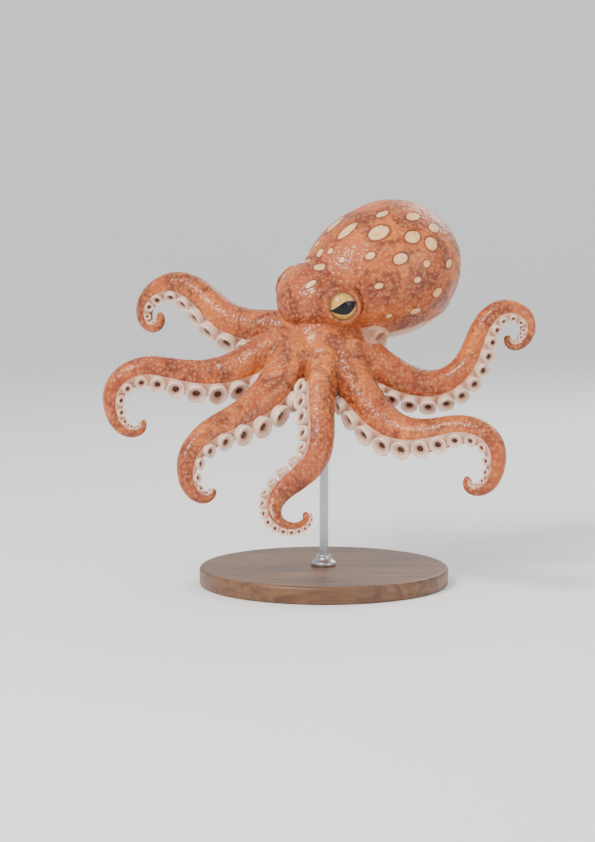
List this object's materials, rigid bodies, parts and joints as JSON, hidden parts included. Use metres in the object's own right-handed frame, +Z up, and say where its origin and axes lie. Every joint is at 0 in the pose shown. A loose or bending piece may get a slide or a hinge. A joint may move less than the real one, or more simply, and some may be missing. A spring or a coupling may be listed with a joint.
{
  "type": "octopus",
  "caption": "Life-size curled octopus in a swimming pose, its arms spread and curled at the tips, on a round base with a steel rod.",
  "frame": {"origin": "centre of the stand base's underside, on the rod's axis", "axes": "+Z up along the rod; -Y towards the viewer; +X to the viewer's right, the side that the mantle points to"},
  "size_m": [0.3408, 0.3103, 0.3068],
  "materials": {
    "skin": "wet, soft skin, reddish brown above and pale below",
    "eye": "wet, golden",
    "stand_wood": "dark stained, satin varnish",
    "stand_steel": "brushed"
  },
  "bodies": {
    "root": {"arm_l1_base": "skin", "arm_l1_mid": "skin", "arm_l1_tip": "skin", "arm_l2_base": "skin", "arm_l2_mid": "skin", "arm_l2_tip": "skin", "arm_l3_base": "skin", "arm_l3_mid": "skin", "arm_l3_tip": "skin", "arm_l4_base": "skin", "arm_l4_mid": "skin", "arm_l4_tip": "skin", "arm_r1_base": "skin", "arm_r1_mid": "skin", "arm_r1_tip": "skin", "arm_r2_base": "skin", "arm_r2_mid": "skin", "arm_r2_tip": "skin", "arm_r3_base": "skin", "arm_r3_mid": "skin", "arm_r3_tip": "skin", "arm_r4_base": "skin", "arm_r4_mid": "skin", "arm_r4_tip": "skin", "crown": "skin", "eye_left": "eye", "eye_right": "eye", "funnel": "skin", "head": "skin", "mantle": "skin", "stand_base": "stand_wood", "stand_collar": "stand_steel", "stand_rod": "stand_steel", "web_l1_l2": "skin", "web_l2_l3": "skin", "web_l3_l4": "skin", "web_l4_r4": "skin", "web_r1_l1": "skin", "web_r2_r1": "skin", "web_r3_r2": "skin", "web_r4_r3": "skin"}
  },
  "joints": []
}
